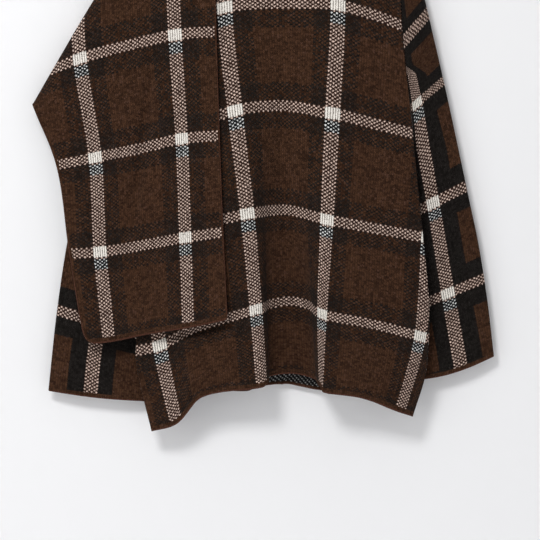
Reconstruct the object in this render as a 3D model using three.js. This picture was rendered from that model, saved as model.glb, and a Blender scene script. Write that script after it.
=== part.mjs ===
// A windowpane check knit with a half cape, hung on a plain hanger.
// Millimetres. +Z is up and -Y is the front. The origin is where a rail would carry the hook.
// Widths are counted in repeats of the check across the cloth (wales), lengths in repeats down it (courses).
import * as THREE from 'three';

// Cloth
const KNIT_WALL = 3;
const SEAM_GAP = 0.5;
const SIDE_SEAM_GAP = 0.7;
const BODY_LENGTH = 780;
const CAPE_LENGTH = 560;

// Where each panel starts and ends, in repeats of the check down the cloth
const SHOULDER_COURSE = 0.03;
const UNDERARM_COURSE = 1.75;
const HEM_COURSE = 4.87;
const CENTRE_WALE = 1.5;

// Neck opening
const NECK_HALF_WIDTH = 0.6;
const FRONT_NECK_DROP = 0.42;
const BACK_NECK_DROP = 0.12;

// Depths off the hanger's middle plane, towards the front
const SEAM_DEPTH = 2;
const CAPE_SEAM_DEPTH = 1.6;
const BACK_DEPTH = -13;
const SHOULDER_ROLL = 20;
const ROLL_STEPS = [0, 0.1, 0.3, 0.6, 1];
const CAPE_SHOULDER_ROLL = 25;
const CAPE_LIFT = 5;
const CAPE_BACK_DEPTH = -16.6;
const CAPE_ROLL_SHARE = 0.8;

// How much lower the middle of the back's hem hangs, and how far the cape's back ends inside its front
const BACK_SAG = 18;
const CAPE_BACK_TUCK = 8;

// The cape's outer corner at the hem is cut round
const CAPE_WIDTH = 300;
const CAPE_CORNER = 16;

// Hanger and its hook
const HANGER_HALF_WIDTH = 188;
const HANGER_THICKNESS = 11;
const HANGER_MIDDLE_HEIGHT = 26;
const HANGER_TIP_HEIGHT = 14;
const HANGER_ROUNDNESS = 0.8;
const HANGER_STEPS = 24;
const HANGER_AROUND = 12;
const HANGER_TOP = [
  { out: 0, height: -90 },
  { out: 60, height: -96 },
  { out: 110, height: -106 },
  { out: 188, height: -141 },
];
const HOOK_INSIDE_RADIUS = 18;
const HOOK_WIRE_RADIUS = 1.8;
const HOOK_STEM = 16;
const HOOK_BEND = 5;
const HOOK_TURN = { from: -55, to: 200, step: 17 };

const COLOURS = { knit: 0x3e2a1f, wood: 0xb98b5a, steel: 0xa9abad };

// The front of the body. Each row is one course; the columns are the wales named here, from the
// wearer's right side seam over the two hanging flutes (wales 1 and 2) and the hollow between them.
const FRONT_WALES = [-0.3, 0, 0.35, 1, 1.1, 1.3, 1.5, 1.7, 1.9, 2, 2.08, 2.5, 3, 3.3];
const FRONT_ROWS = [
  {
    course: 0.03,
    across: [-317, -264, -202, -88, -70, -35, 0, 35, 70, 88, 101, 176, 264, 317],
    height: [-208, -168, -128, -90, -86, -83, -82, -83, -86, -90, -93, -119, -160, -200],
    depth: [11, 11, 11, 11, 11, 11, 11, 11, 11, 11, 11, 11, 11, 11],
  },
  {
    course: 1,
    across: [-311, -261, -202, -91, -73, -37, 0, 37, 73, 91, 104, 176, 260, 311],
    height: [-376, -328, -288, -253, -250, -247, -246, -246, -247, -249, -252, -275, -315, -352],
    depth: [11, 12, 13, 18, 17, 14, 13, 14, 17, 18, 17, 14, 12, 11],
  },
  {
    course: 2,
    across: [-297, -246, -186, -74, -57, -25, 4, 33, 64, 82, 95, 166, 247, 297],
    height: [-496, -472, -451, -419, -415, -411, -410, -414, -421, -423, -426, -444, -464, -480],
    depth: [16, 19, 24, 34, 33, 22, 14, 22, 32, 34, 34, 28, 21, 18],
  },
  {
    course: 3,
    across: [-263, -217, -161, -54, -39, -20, 4, 30, 57, 72, 84, 151, 234, 281],
    height: [-640, -624, -608, -583, -581, -578, -576, -581, -589, -593, -595, -607, -622, -634],
    depth: [20, 27, 35, 48, 45, 24, 13, 24, 44, 48, 48, 44, 30, 22],
  },
  {
    course: 4,
    across: [-241, -194, -140, -40, -28, -19, 14, 42, 54, 64, 73, 142, 221, 252],
    height: [-803, -793, -770, -736, -732, -727, -722, -728, -738, -742, -745, -758, -778, -786],
    depth: [22, 32, 41, 56, 50, 20, 12, 20, 48, 56, 58, 52, 38, 22],
  },
  {
    course: 4.87,
    across: [-209, -167, -126, -30, -21, -17, 18, 51, 58, 62, 66, 126, 188, 218],
    height: [-930, -917, -874, -858, -851, -842, -838, -846, -855, -859, -866, -875, -898, -909],
    depth: [24, 36, 50, 60, 48, 16, 12, 16, 46, 58, 62, 60, 44, 24],
  },
];

// The wale where the front ends at either side, course by course: the armhole leans in at the shoulder.
const SIDE_ROWS = [
  { course: 0.03, right: 0.42, left: 2.58 },
  { course: 1, right: 0.4, left: 2.6 },
  { course: 2, right: 0.23, left: 2.77 },
  { course: 3, right: 0.03, left: 2.95 },
  { course: 4, right: -0.25, left: 3.12 },
  { course: 4.4, right: -0.28, left: 3.22 },
  { course: 4.87, right: -0.29, left: 3.21 },
];

// How far the back panel swings forward towards its side seams, from seam (0) to middle (0.5)
const BACK_SWING = [
  { share: 0, swing: 1 },
  { share: 0.08, swing: 0.97 },
  { share: 0.14, swing: 0.8 },
  { share: 0.22, swing: 0.08 },
  { share: 0.3, swing: 0 },
  { share: 0.5, swing: 0 },
];

// The half cape. Wales count from its outer stripe (0) to its free inner edge (1.42).
const CAPE_WALES = [-0.6, -0.3, 0, 0.5, 1, 1.45];
const CAPE_INNER_WALE = 1.42;
const CAPE_TIP_WALE = -0.56;
const CAPE_HEM_COURSE = 3.9;
const CAPE_ROWS = [
  {
    course: -0.3,
    across: [-426, -379, -329, -252, -177, -107],
    height: [-184, -160, -128, -102, -82, -82],
    depth: [14.8, 14.8, 14.8, 14.8, 14.8, 14.8],
  },
  {
    course: 0.35,
    across: [-421, -374, -327, -250, -174, -102],
    height: [-272, -259, -232, -208, -194, -190],
    depth: [16, 16, 16, 17, 19, 20],
  },
  {
    course: 1,
    across: [-411, -368, -322, -246, -170, -99],
    height: [-371, -357, -339, -318, -301, -296],
    depth: [15, 16, 17, 20, 25, 31],
  },
  {
    course: 2,
    across: [-393, -347, -297, -230, -159, -94],
    height: [-512, -506, -496, -482, -466, -461],
    depth: [15, 18, 20, 25, 34, 45],
  },
  {
    course: 3,
    across: [-390, -339, -289, -220, -153, -88],
    height: [-648, -648, -645, -634, -622, -613],
    depth: [18, 22, 26, 32, 46, 57],
  },
  {
    course: 3.9,
    across: [-374, -322, -274, -210, -148, -81],
    height: [-792, -791, -787, -774, -764, -750],
    depth: [22, 25, 29, 37, 52, 63],
  },
];

// The cape's shoulder line, from its outer tip up to the neck
const CAPE_TOP = [
  { wale: -0.56, course: 1.3 },
  { wale: -0.27, course: 0.97 },
  { wale: 0, course: 0.67 },
  { wale: 0.2, course: 0.44 },
  { wale: 0.45, course: 0.14 },
  { wale: 0.63, course: -0.08 },
  { wale: 0.85, course: -0.17 },
  { wale: 1.42, course: -0.26 },
];

// The cape's outer edge, from its tip down to the hem
const CAPE_SIDE = [
  { fall: 0, wale: -0.56 },
  { fall: 0.27, wale: -0.385 },
  { fall: 0.65, wale: -0.3 },
  { fall: 0.94, wale: -0.26 },
  { fall: 1, wale: -0.22 },
];

// Sleeve rings, from the armhole to the cuff. Outer is the fold away from the body and inner the one
// beside it. Free is how far the ring has left the shape of the armhole.
const LEFT_SLEEVE_RINGS = [
  { outer: [194, -125], inner: [206, -419], free: 0 },
  { outer: [212, -173], inner: [211, -438], free: 0.12 },
  { outer: [233, -240], inner: [212, -461], free: 0.35 },
  { outer: [247, -309], inner: [209, -493], free: 0.65 },
  { outer: [263, -381], inner: [198, -531], free: 0.9 },
  { outer: [281, -464], inner: [188, -584], free: 1 },
  { outer: [300, -554], inner: [177, -640], free: 1 },
  { outer: [316, -630], inner: [170, -696], free: 1 },
  { outer: [330, -718], inner: [169, -760], free: 1 },
  { outer: [341, -811], inner: [175, -849], free: 1 },
];
const RIGHT_SLEEVE_RINGS = [
  { outer: [-197, -125], inner: [-206, -419], free: 0 },
  { outer: [-222, -173], inner: [-210, -438], free: 0.12 },
  { outer: [-249, -240], inner: [-211, -461], free: 0.35 },
  { outer: [-268, -309], inner: [-209, -493], free: 0.65 },
  { outer: [-286, -381], inner: [-204, -531], free: 0.9 },
  { outer: [-306, -464], inner: [-201, -584], free: 1 },
  { outer: [-326, -544], inner: [-198, -640], free: 1 },
  { outer: [-345, -635], inner: [-196, -704], free: 1 },
  { outer: [-361, -744], inner: [-199, -792], free: 1 },
  { outer: [-374, -866], inner: [-207, -883], free: 1 },
];
const SLEEVE_MIDDLE = -2.5;
const SLEEVE_HALF_DEPTH = 9;
const SLEEVE_FLATTEST = 5;
const ARMHOLE_FLATTEST = 5.5;
const SLEEVE_FOLD_SHARE = 0.75;
const LEFT_CUFF_BOW = 12;
const RIGHT_CUFF_BOW = 3;
const SLEEVE_AROUND = 28;
const RINGS_BETWEEN = 2;

// A smooth curve through the values that stand at the knots, read at one place.
function through(knots, values, at) {
  const last = knots.length - 1;
  let i = 0;
  while (i < last - 1 && at > knots[i + 1]) {
    i += 1;
  }
  const slope = (k) => {
    const a = Math.max(k - 1, 0);
    const b = Math.min(k + 1, last);
    return (values[b] - values[a]) / (knots[b] - knots[a]);
  };
  const span = knots[i + 1] - knots[i];
  const u = THREE.MathUtils.clamp((at - knots[i]) / span, -0.5, 1.5);
  const rise = values[i + 1] - values[i];
  const start = slope(i) * span;
  const end = slope(i + 1) * span;
  return values[i] + u * (start + u * (3 * rise - 2 * start - end + u * (start + end - 2 * rise)));
}

// The same for a table of rows, read by two of its columns.
function column(rows, key, value, at) {
  return through(rows.map((row) => row[key]), rows.map((row) => row[value]), at);
}

// A straight-line read of a table, for edges that have a corner in them.
function straight(rows, key, value, at) {
  let i = 0;
  while (i < rows.length - 2 && at > rows[i + 1][key]) {
    i += 1;
  }
  const share = THREE.MathUtils.clamp((at - rows[i][key]) / (rows[i + 1][key] - rows[i][key]), 0, 1);
  return THREE.MathUtils.lerp(rows[i][value], rows[i + 1][value], share);
}

// A place on a panel, from its wale and its course.
function onPanel(rows, wales, wale, course) {
  const courses = rows.map((row) => row.course);
  const read = (name) => through(courses, rows.map((row) => through(wales, row[name], wale)), course);
  return { x: read('across'), z: read('height'), depth: read('depth') };
}

// The roll over a shoulder: how much of its full depth the cloth has, so far below the seam.
function roll(below, height) {
  const left = THREE.MathUtils.clamp(1 - below / height, 0, 1);
  return Math.sqrt(1 - left * left);
}

// A net of points over a panel: close rows over the shoulder's roll, then even ones down to the hem.
function grid(across, down, rollShare, place) {
  const falls = ROLL_STEPS.map((step) => step * rollShare);
  for (let j = 1; j <= down; j += 1) {
    falls.push(THREE.MathUtils.lerp(rollShare, 1, j / down));
  }
  return falls.map((fall) => {
    const row = [];
    for (let i = 0; i <= across; i += 1) {
      row.push(place(i / across, fall));
    }
    return row;
  });
}

// The way a sheet faces at one of its points, towards side +1 or -1.
function facing(points, i, j, side) {
  const row = points[j];
  const left = row[Math.max(i - 1, 0)];
  const right = row[Math.min(i + 1, row.length - 1)];
  const up = points[Math.max(j - 1, 0)][i];
  const down = points[Math.min(j + 1, points.length - 1)][i];
  const along = new THREE.Vector3().subVectors(right, left);
  const fall = new THREE.Vector3().subVectors(down, up);
  return fall.cross(along).normalize().multiplyScalar(side);
}

function solidOf(vertices, triangles) {
  const geometry = new THREE.BufferGeometry();
  const flat = vertices.flatMap((p) => [p.x, p.y, p.z]);
  geometry.setAttribute('position', new THREE.Float32BufferAttribute(flat, 3));
  geometry.setIndex(triangles);
  geometry.computeVertexNormals();
  return geometry;
}

// A closed wall of cloth: the face that shows, and the same face moved in by the wall.
// side is +1 for a sheet that faces the front and -1 for one that faces the back.
function sheet(points, side) {
  const wide = points[0].length;
  const tall = points.length;
  const inside = points.map((row, j) => row.map((p, i) => {
    return p.clone().addScaledVector(facing(points, i, j, side), -KNIT_WALL);
  }));
  const vertices = [...points.flat(), ...inside.flat()];
  const face = (i, j) => j * wide + i;
  const back = (i, j) => wide * tall + j * wide + i;
  const triangles = [];
  const quad = (a, b, c, d) => {
    if (side > 0) {
      triangles.push(a, b, c, a, c, d);
    } else {
      triangles.push(a, c, b, a, d, c);
    }
  };
  for (let j = 0; j < tall - 1; j += 1) {
    for (let i = 0; i < wide - 1; i += 1) {
      quad(face(i, j), face(i, j + 1), face(i + 1, j + 1), face(i + 1, j));
      quad(back(i, j), back(i + 1, j), back(i + 1, j + 1), back(i, j + 1));
    }
    quad(face(0, j), back(0, j), back(0, j + 1), face(0, j + 1));
    quad(face(wide - 1, j), face(wide - 1, j + 1), back(wide - 1, j + 1), back(wide - 1, j));
  }
  for (let i = 0; i < wide - 1; i += 1) {
    quad(face(i, 0), face(i + 1, 0), back(i + 1, 0), back(i, 0));
    quad(face(i, tall - 1), back(i, tall - 1), back(i + 1, tall - 1), face(i + 1, tall - 1));
  }
  return solidOf(vertices, triangles);
}

// A closed tube of cloth from two sets of rings, the outside and the inside, open at both ends.
function tube(outside, inside, turned) {
  const round = outside[0].length;
  const rings = outside.length;
  const vertices = [...outside.flat(), ...inside.flat()];
  const out = (i, j) => j * round + (i % round);
  const inn = (i, j) => round * rings + j * round + (i % round);
  const triangles = [];
  const quad = (a, b, c, d) => {
    if (turned) {
      triangles.push(a, c, b, a, d, c);
    } else {
      triangles.push(a, b, c, a, c, d);
    }
  };
  for (let i = 0; i < round; i += 1) {
    for (let j = 0; j < rings - 1; j += 1) {
      quad(out(i, j), out(i, j + 1), out(i + 1, j + 1), out(i + 1, j));
      quad(inn(i, j), inn(i + 1, j), inn(i + 1, j + 1), inn(i, j + 1));
    }
    quad(out(i, 0), out(i + 1, 0), inn(i + 1, 0), inn(i, 0));
    quad(out(i, rings - 1), inn(i, rings - 1), inn(i + 1, rings - 1), out(i + 1, rings - 1));
  }
  return solidOf(vertices, triangles);
}

// Body

function neckDrop(wale, drop) {
  const off = Math.abs(wale - CENTRE_WALE) / NECK_HALF_WIDTH;
  return off < 1 ? drop * Math.sqrt(1 - off * off) : 0;
}

function sideWale(course, share) {
  const right = column(SIDE_ROWS, 'course', 'right', course);
  const left = column(SIDE_ROWS, 'course', 'left', course);
  return THREE.MathUtils.lerp(right, left, share);
}

function bodyCourse(share, fall, drop) {
  const top = SHOULDER_COURSE + neckDrop(sideWale(SHOULDER_COURSE, share), drop);
  return THREE.MathUtils.lerp(top, HEM_COURSE, fall);
}

function onFront(share, course) {
  const wale = sideWale(course, share);
  const place = onPanel(FRONT_ROWS, FRONT_WALES, wale, course);
  const shoulder = onPanel(FRONT_ROWS, FRONT_WALES, wale, SHOULDER_COURSE);
  const turn = roll(shoulder.z - place.z, SHOULDER_ROLL);
  place.depth = THREE.MathUtils.lerp(SEAM_DEPTH, place.depth, turn);
  return place;
}

function frontPoint(share, fall) {
  const place = onFront(share, bodyCourse(share, fall, FRONT_NECK_DROP));
  return new THREE.Vector3(place.x, -place.depth, place.z);
}

// The back hangs flat. Below the armholes its sides come forward to meet the front's side seams.
function backDepth(share, course) {
  const shoulder = onFront(share, SHOULDER_COURSE);
  const here = onFront(share, course);
  const turn = roll(shoulder.z - here.z, SHOULDER_ROLL);
  const hung = THREE.MathUtils.lerp(-SEAM_DEPTH, BACK_DEPTH, turn);
  const joined = onFront(share < 0.5 ? 0 : 1, course).depth - 2 * KNIT_WALL - SIDE_SEAM_GAP;
  const below = THREE.MathUtils.smoothstep(course, UNDERARM_COURSE - 0.4, UNDERARM_COURSE);
  const swing = straight(BACK_SWING, 'share', 'swing', Math.min(share, 1 - share));
  return THREE.MathUtils.lerp(hung, joined, below * swing);
}

// The back's own lines run straight across, with none of the front's flutes in them.
function backPoint(share, fall) {
  const course = bodyCourse(share, fall, BACK_NECK_DROP);
  const right = onFront(0, course);
  const left = onFront(1, course);
  const front = onFront(share, course);
  const level = THREE.MathUtils.smoothstep(course, 1, 3);
  const x = THREE.MathUtils.lerp(front.x, THREE.MathUtils.lerp(right.x, left.x, share), level);
  return new THREE.Vector3(x, -backDepth(share, course), front.z - hemSag(share, course));
}

// The middle of the back hangs a little lower than the front's raised hollow.
function hemSag(share, course) {
  const middle = Math.max(0, 1 - Math.abs(share - 0.5) * 4);
  return BACK_SAG * middle * THREE.MathUtils.smoothstep(course, 3, HEM_COURSE);
}

// Sleeves

// The armhole's front and back edges beside a sleeve, from the shoulder (0) to the underarm (1).
function armhole(side, share) {
  const course = THREE.MathUtils.lerp(SHOULDER_COURSE, UNDERARM_COURSE, share);
  const edge = onFront(side, course);
  return { x: edge.x, z: edge.z, front: edge.depth, back: backDepth(side, course) };
}

function sleeveRing(ring, side, sideways, cuffBow, inset) {
  const points = [];
  const around = SLEEVE_AROUND;
  const half = around / 2;
  const length = Math.hypot(ring.outer[0] - ring.inner[0], ring.outer[1] - ring.inner[1]);
  for (let i = 0; i < around; i += 1) {
    const onFace = i < half;
    const step = onFace ? i / half : (around - i) / half;
    const even = 0.5 - 0.5 * Math.cos(Math.PI * step);
    const share = THREE.MathUtils.lerp(step, even, SLEEVE_FOLD_SHARE);
    const pulled = inset / length + share * (1 - 2 * inset / length);
    const edge = armhole(side, share);
    const puff = (1 - Math.abs(2 * share - 1) ** 4) ** 0.5;
    const bow = cuffBow * Math.sin(Math.PI * share) * ring.free * ring.free;
    const x = THREE.MathUtils.lerp(ring.outer[0], ring.inner[0], pulled);
    const z = THREE.MathUtils.lerp(ring.outer[1], ring.inner[1], pulled) - bow;
    const edgeMiddle = (edge.front + edge.back) / 2;
    const edgeHalf = Math.max((edge.front - edge.back) / 2, ARMHOLE_FLATTEST) - inset;
    const middle = THREE.MathUtils.lerp(edgeMiddle, SLEEVE_MIDDLE, ring.free);
    const ends = i === 0 || i === half ? 0 : 1;
    const freeHalf = Math.max(SLEEVE_HALF_DEPTH * puff, SLEEVE_FLATTEST) - inset;
    const reach = ends * THREE.MathUtils.lerp(edgeHalf, freeHalf, ring.free);
    const straightX = THREE.MathUtils.lerp(ring.outer[0], ring.inner[0], share);
    const straightZ = THREE.MathUtils.lerp(ring.outer[1], ring.inner[1], share);
    const held = 1 - ring.free;
    const seamX = (edge.x + sideways * SEAM_GAP - straightX) * held ** 3;
    const seamZ = (edge.z - straightZ) * held ** 3;
    points.push(new THREE.Vector3(x + seamX, -(middle + (onFace ? reach : -reach)), z + seamZ));
  }
  return points;
}

function sleeve(rings, side, sideways, cuffBow) {
  const stations = [];
  const last = (rings.length - 1) * RINGS_BETWEEN;
  const steps = rings.map((ring, i) => i * RINGS_BETWEEN);
  for (let k = 0; k <= last; k += 1) {
    const read = (pick) => through(steps, rings.map(pick), k);
    stations.push({
      outer: [read((ring) => ring.outer[0]), read((ring) => ring.outer[1])],
      inner: [read((ring) => ring.inner[0]), read((ring) => ring.inner[1])],
      free: THREE.MathUtils.clamp(read((ring) => ring.free), 0, 1),
    });
  }
  const outside = stations.map((ring) => sleeveRing(ring, side, sideways, cuffBow, 0));
  const inside = stations.map((ring) => sleeveRing(ring, side, sideways, cuffBow, KNIT_WALL));
  return tube(outside, inside, sideways > 0);
}

// Half cape

// Moves a place near the cape's outer hem corner in behind the round cut.
function aroundCorner(share, fall) {
  const beside = Math.max(0, 1 - share * CAPE_WIDTH / CAPE_CORNER);
  const below = Math.max(0, 1 - (1 - fall) * CAPE_LENGTH / CAPE_CORNER);
  const inwards = beside * (1 - Math.sqrt(1 - below * below / 2));
  const upwards = below * (1 - Math.sqrt(1 - beside * beside / 2));
  return [share + inwards * CAPE_CORNER / CAPE_WIDTH, fall - upwards * CAPE_CORNER / CAPE_LENGTH];
}

function capePlace(evenShare, evenFall) {
  const [share, fall] = aroundCorner(evenShare, evenFall);
  const top = THREE.MathUtils.lerp(CAPE_TIP_WALE, CAPE_INNER_WALE, share);
  const side = column(CAPE_SIDE, 'fall', 'wale', fall);
  const wale = THREE.MathUtils.lerp(side, CAPE_INNER_WALE, share);
  const start = straight(CAPE_TOP, 'wale', 'course', top);
  const course = THREE.MathUtils.lerp(start, CAPE_HEM_COURSE, fall);
  const place = onPanel(CAPE_ROWS, CAPE_WALES, wale, course);
  const seam = onPanel(CAPE_ROWS, CAPE_WALES, top, start);
  const away = Math.hypot(place.x - seam.x, place.z - seam.z);
  place.turn = roll(away * CAPE_ROLL_SHARE, CAPE_SHOULDER_ROLL);
  return place;
}

function capeFrontPoint(share, fall) {
  const place = capePlace(share, fall);
  const depth = THREE.MathUtils.lerp(CAPE_SEAM_DEPTH, place.depth, place.turn);
  return new THREE.Vector3(place.x, -depth, place.z + CAPE_LIFT * (1 - fall));
}

function capeBackPoint(share, fall) {
  const place = capePlace(share, fall);
  const depth = THREE.MathUtils.lerp(-CAPE_SEAM_DEPTH, CAPE_BACK_DEPTH, place.turn);
  const tuck = CAPE_BACK_TUCK * THREE.MathUtils.smoothstep(fall, 0, 0.3);
  const x = place.x + tuck * (1 - 2 * share);
  return new THREE.Vector3(x, -depth, place.z + CAPE_LIFT * (1 - fall) + tuck * fall);
}

// Hanger and hook

// The hanger's upper edge, level at the neck and sloping to the tips under the shoulders
function hangerTop(x) {
  return column(HANGER_TOP, 'out', 'height', Math.abs(x));
}

function hangerGeometry() {
  const around = HANGER_AROUND;
  const wide = HANGER_THICKNESS / 2;
  const rounded = (value) => Math.sign(value) * Math.abs(value) ** HANGER_ROUNDNESS;
  const vertices = [];
  for (let k = 0; k <= HANGER_STEPS; k += 1) {
    const x = THREE.MathUtils.lerp(-HANGER_HALF_WIDTH, HANGER_HALF_WIDTH, k / HANGER_STEPS);
    const out = (Math.abs(x) / HANGER_HALF_WIDTH) ** 1.5;
    const half = THREE.MathUtils.lerp(HANGER_MIDDLE_HEIGHT, HANGER_TIP_HEIGHT, out) / 2;
    const middle = hangerTop(x) - half;
    for (let i = 0; i < around; i += 1) {
      const turn = (i / around) * 2 * Math.PI;
      const y = wide * rounded(Math.sin(turn));
      vertices.push(new THREE.Vector3(x, y, middle + half * rounded(Math.cos(turn))));
    }
  }
  const triangles = [];
  for (let k = 0; k < HANGER_STEPS; k += 1) {
    for (let i = 0; i < around; i += 1) {
      const a = k * around + i;
      const b = k * around + ((i + 1) % around);
      triangles.push(a, a + around, b, b, a + around, b + around);
    }
  }
  for (let i = 1; i < around - 1; i += 1) {
    const end = HANGER_STEPS * around;
    triangles.push(0, i, i + 1);
    triangles.push(end, end + i + 1, end + i);
  }
  return solidOf(vertices, triangles);
}

function hookGeometry() {
  const ring = HOOK_INSIDE_RADIUS + HOOK_WIRE_RADIUS;
  const centre = -HOOK_INSIDE_RADIUS;
  const foot = hangerTop(0) + SEAM_GAP;
  const points = [
    new THREE.Vector3(0, 0, foot),
    new THREE.Vector3(0, 0, foot + HOOK_STEM),
    new THREE.Vector3(HOOK_WIRE_RADIUS, 0, centre - ring - HOOK_BEND),
  ];
  for (let turn = HOOK_TURN.from; turn <= HOOK_TURN.to; turn += HOOK_TURN.step) {
    const angle = THREE.MathUtils.degToRad(turn);
    points.push(new THREE.Vector3(ring * Math.cos(angle), 0, centre + ring * Math.sin(angle)));
  }
  const path = new THREE.CatmullRomCurve3(points);
  const wire = new THREE.Shape();
  wire.absarc(0, 0, HOOK_WIRE_RADIUS, 0, 2 * Math.PI);
  const way = { steps: 30, curveSegments: 4, bevelEnabled: false, extrudePath: path };
  return new THREE.ExtrudeGeometry(wire, way);
}

function piece(name, geometry, colour, roughness, metalness) {
  const material = new THREE.MeshStandardMaterial({ color: colour, roughness, metalness });
  const mesh = new THREE.Mesh(geometry, material);
  mesh.name = name;
  return mesh;
}

function knitPiece(name, geometry) {
  return piece(name, geometry, COLOURS.knit, 0.95, 0);
}

const bodyRoll = SHOULDER_ROLL / BODY_LENGTH;
const capeRoll = CAPE_SHOULDER_ROLL / CAPE_LENGTH;
const garment = new THREE.Group();
garment.add(knitPiece('front_panel', sheet(grid(34, 20, bodyRoll, frontPoint), 1)));
garment.add(knitPiece('back_panel', sheet(grid(22, 16, bodyRoll, backPoint), -1)));
garment.add(knitPiece('sleeve_left', sleeve(LEFT_SLEEVE_RINGS, 1, 1, LEFT_CUFF_BOW)));
garment.add(knitPiece('sleeve_right', sleeve(RIGHT_SLEEVE_RINGS, 0, -1, RIGHT_CUFF_BOW)));
garment.add(knitPiece('cape_front', sheet(grid(20, 16, capeRoll, capeFrontPoint), 1)));
garment.add(knitPiece('cape_back', sheet(grid(20, 14, capeRoll, capeBackPoint), -1)));
garment.add(piece('hanger', hangerGeometry(), COLOURS.wood, 0.5, 0));
garment.add(piece('hanger_hook', hookGeometry(), COLOURS.steel, 0.3, 1));

export default garment;
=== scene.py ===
import math
import bpy
import numpy as np
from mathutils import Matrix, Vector


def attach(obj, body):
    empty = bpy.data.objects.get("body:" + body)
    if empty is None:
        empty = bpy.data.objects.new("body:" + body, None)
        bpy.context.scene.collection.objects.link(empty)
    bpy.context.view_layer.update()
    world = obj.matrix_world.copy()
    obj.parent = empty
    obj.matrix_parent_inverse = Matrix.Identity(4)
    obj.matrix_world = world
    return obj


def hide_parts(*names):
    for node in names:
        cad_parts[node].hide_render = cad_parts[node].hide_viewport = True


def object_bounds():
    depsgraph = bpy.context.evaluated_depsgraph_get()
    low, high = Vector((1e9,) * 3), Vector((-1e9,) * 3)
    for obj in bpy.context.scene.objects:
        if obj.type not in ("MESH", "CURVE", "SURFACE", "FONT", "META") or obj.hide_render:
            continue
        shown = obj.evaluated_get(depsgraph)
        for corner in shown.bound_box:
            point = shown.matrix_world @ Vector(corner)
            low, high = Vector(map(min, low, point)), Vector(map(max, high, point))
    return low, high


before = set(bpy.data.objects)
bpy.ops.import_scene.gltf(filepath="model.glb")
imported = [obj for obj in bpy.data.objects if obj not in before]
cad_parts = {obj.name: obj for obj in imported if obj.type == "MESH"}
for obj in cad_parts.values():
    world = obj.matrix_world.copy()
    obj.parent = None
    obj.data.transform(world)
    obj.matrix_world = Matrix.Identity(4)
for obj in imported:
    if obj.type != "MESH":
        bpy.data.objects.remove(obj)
cad_low, cad_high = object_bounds()

# The hanger: one shaped bar of beech, sanded round and lacquered, with the grain along it.
# It carries the shoulders of the knit from inside and hangs by its own hook.
MM = 0.001
hanger_half_width = 188 * MM
hanger_thickness = 11 * MM
hanger_middle_tall = 26 * MM
hanger_end_tall = 14 * MM
hanger_top_across = np.array([0, 60, 110, 188]) * MM
hanger_top_height = np.array([-90, -96, -106, -141]) * MM
hanger_roundness = 0.8
beech = (0.5, 0.31, 0.17)
beech_dark_grain = (0.36, 0.2, 0.1)
beech_light_grain = (0.58, 0.38, 0.22)


def curve(knots, values, at):
    """A smooth curve through the values that stand at the knots, read at many places."""
    knots = np.asarray(knots, float)
    values = np.asarray(values, float)
    at = np.atleast_1d(np.asarray(at, float))
    if values.ndim == 1:
        values = np.repeat(values[:, None], at.size, axis=1)
    last = len(knots) - 1
    i = np.clip(np.searchsorted(knots, at) - 1, 0, last - 1)
    column = np.arange(at.size)

    def slope(k):
        a = np.maximum(k - 1, 0)
        b = np.minimum(k + 1, last)
        return (values[b, column] - values[a, column]) / (knots[b] - knots[a])

    span = knots[i + 1] - knots[i]
    u = np.clip((at - knots[i]) / span, -0.5, 1.5)
    rise = values[i + 1, column] - values[i, column]
    start = slope(i) * span
    end = slope(i + 1) * span
    return values[i, column] + u * (start + u * (3 * rise - 2 * start - end + u * (start + end - 2 * rise)))


def new_material(name, colour, roughness, metallic=0.0):
    """A material and its main shader, with one even colour to begin with."""
    material = bpy.data.materials.new(name)
    material.use_nodes = True
    shader = material.node_tree.nodes["Principled BSDF"]
    shader.inputs["Base Color"].default_value = (*colour, 1)
    shader.inputs["Roughness"].default_value = roughness
    shader.inputs["Metallic"].default_value = metallic
    return material, shader


wood, wood_shader = new_material("lacquered beech", beech, 0.38)
tree = wood.node_tree
place = tree.nodes.new("ShaderNodeTexCoord")
stretch = tree.nodes.new("ShaderNodeMapping")
stretch.inputs["Scale"].default_value = (6, 60, 60)
grain = tree.nodes.new("ShaderNodeTexNoise")
grain.inputs["Scale"].default_value = 5
grain.inputs["Detail"].default_value = 8
tint = tree.nodes.new("ShaderNodeValToRGB")
tint.color_ramp.elements[0].position = 0.35
tint.color_ramp.elements[0].color = (*beech_dark_grain, 1)
tint.color_ramp.elements[1].position = 0.7
tint.color_ramp.elements[1].color = (*beech_light_grain, 1)
pores = tree.nodes.new("ShaderNodeBump")
pores.inputs["Distance"].default_value = 0.2 * MM
tree.links.new(place.outputs["Object"], stretch.inputs["Vector"])
tree.links.new(stretch.outputs["Vector"], grain.inputs["Vector"])
tree.links.new(grain.outputs["Fac"], tint.inputs["Fac"])
tree.links.new(tint.outputs["Color"], wood_shader.inputs["Base Color"])
tree.links.new(grain.outputs["Fac"], pores.inputs["Height"])
tree.links.new(pores.outputs["Normal"], wood_shader.inputs["Normal"])
wood_shader.inputs["Coat Weight"].default_value = 0.25


def quads(numbers, turned=False):
    """The faces of a net of numbered points, turned over where they look back."""
    corners = [numbers[:-1, :-1], numbers[1:, :-1], numbers[1:, 1:], numbers[:-1, 1:]]
    if turned:
        corners = corners[::-1]
    return np.stack([c.ravel() for c in corners], axis=1).tolist()


def closed(numbers):
    """A net that goes round: its first column comes again as its last."""
    return np.hstack([numbers, numbers[:, :1]])


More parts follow.
